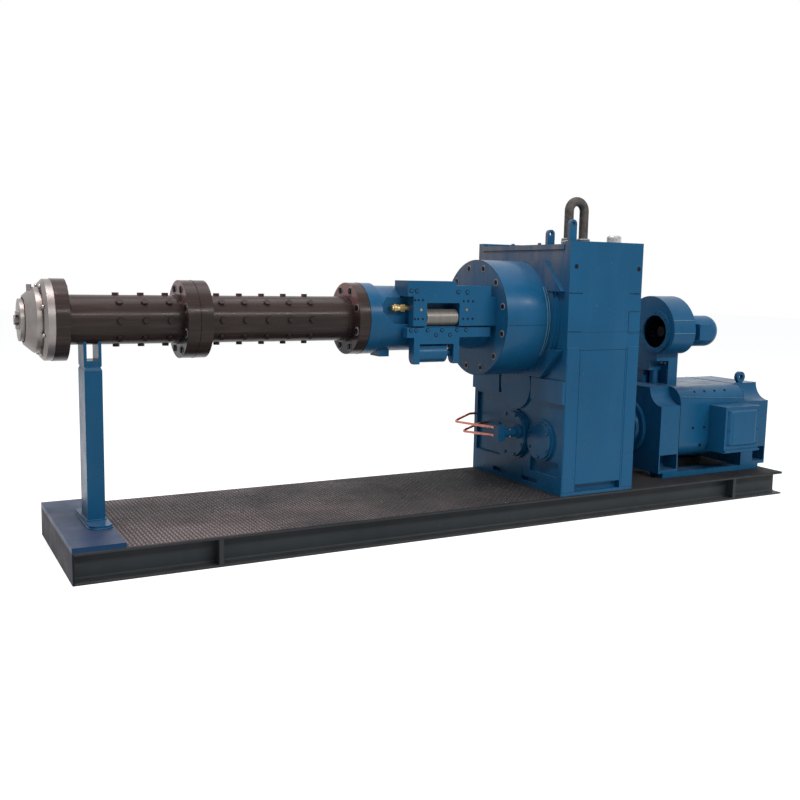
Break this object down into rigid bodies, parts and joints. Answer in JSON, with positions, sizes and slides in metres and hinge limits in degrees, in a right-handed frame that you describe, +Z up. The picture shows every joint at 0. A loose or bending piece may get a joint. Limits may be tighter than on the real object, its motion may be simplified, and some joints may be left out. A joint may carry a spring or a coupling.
{
  "type": "rubber extruder",
  "caption": "Cold feed rubber extruder: flanged pin barrel with a turned head, side feed roller box, tall gearbox, motor and cooling blower on one welded beam frame.",
  "frame": {"origin": "on the floor under the middle of the base frame", "axes": "+X along the machine from the die end to the motor, +Z up, the operator's side at -Y"},
  "size_m": [4.866, 0.98, 1.9485],
  "materials": {
    "machine_blue": "satin blue machine enamel",
    "frame_paint": "near black primer on rolled beams",
    "deck_plate": "worn black chequer plate",
    "barrel_black": "blackened steel, oiled",
    "turned_steel": "turned, matt",
    "bare_steel": "bare",
    "roller_steel": "ground smooth",
    "brass_fittings": "machined",
    "copper_pipe": "drawn copper, dull",
    "black_hose": "black painted tube"
  },
  "bodies": {
    "frame": {"barrel_front": "barrel_black", "barrel_rear": "barrel_black", "blower_duct": "machine_blue", "blower_scroll": "machine_blue", "bracket": "machine_blue", "bracket_drum": "machine_blue", "breather": "bare_steel", "coupling": "machine_blue", "cross_beam_1": "frame_paint", "cross_beam_2": "frame_paint", "cross_beam_3": "frame_paint", "cross_beam_4": "frame_paint", "deck": "deck_plate", "drive_cap": "machine_blue", "end_plate": "frame_paint", "fan_motor": "machine_blue", "fan_wheel": "barrel_black", "feed_barrel": "machine_blue", "feed_cover": "machine_blue", "foot_plate": "machine_blue", "front_rail": "frame_paint", "front_sole": "machine_blue", "gearbox_lid": "machine_blue", "gearbox_lower_case": "machine_blue", "gearbox_side_cover": "machine_blue", "gearbox_upper_case": "machine_blue", "head": "turned_steel", "head_ring": "turned_steel", "lifting_lug_1": "machine_blue", "lifting_lug_2": "machine_blue", "lower_bar": "machine_blue", "middle_cap": "machine_blue", "motor": "machine_blue", "motor_eye": "machine_blue", "oil_pipe_lower": "copper_pipe", "oil_pipe_upper": "copper_pipe", "oil_pump": "machine_blue", "pins_front": "barrel_black", "pins_rear": "barrel_black", "post_foot": "machine_blue", "rear_rail": "frame_paint", "rear_sole": "machine_blue", "return_bend": "black_hose", "roller_housing": "machine_blue", "saddle": "machine_blue", "side_cap": "machine_blue", "support_post": "machine_blue", "terminal_box": "machine_blue", "thrust_housing": "machine_blue", "upper_bar": "machine_blue", "water_union": "brass_fittings"},
    "roller": {"feed_roller": "roller_steel"}
  },
  "joints": [
    {"name": "feed_roller_turn", "type": "hinge", "parent": "frame", "child": "roller", "pos_m": [-0.25, -0.183, 1.213], "axis": [1, 0, 0], "continuous": true}
  ]
}
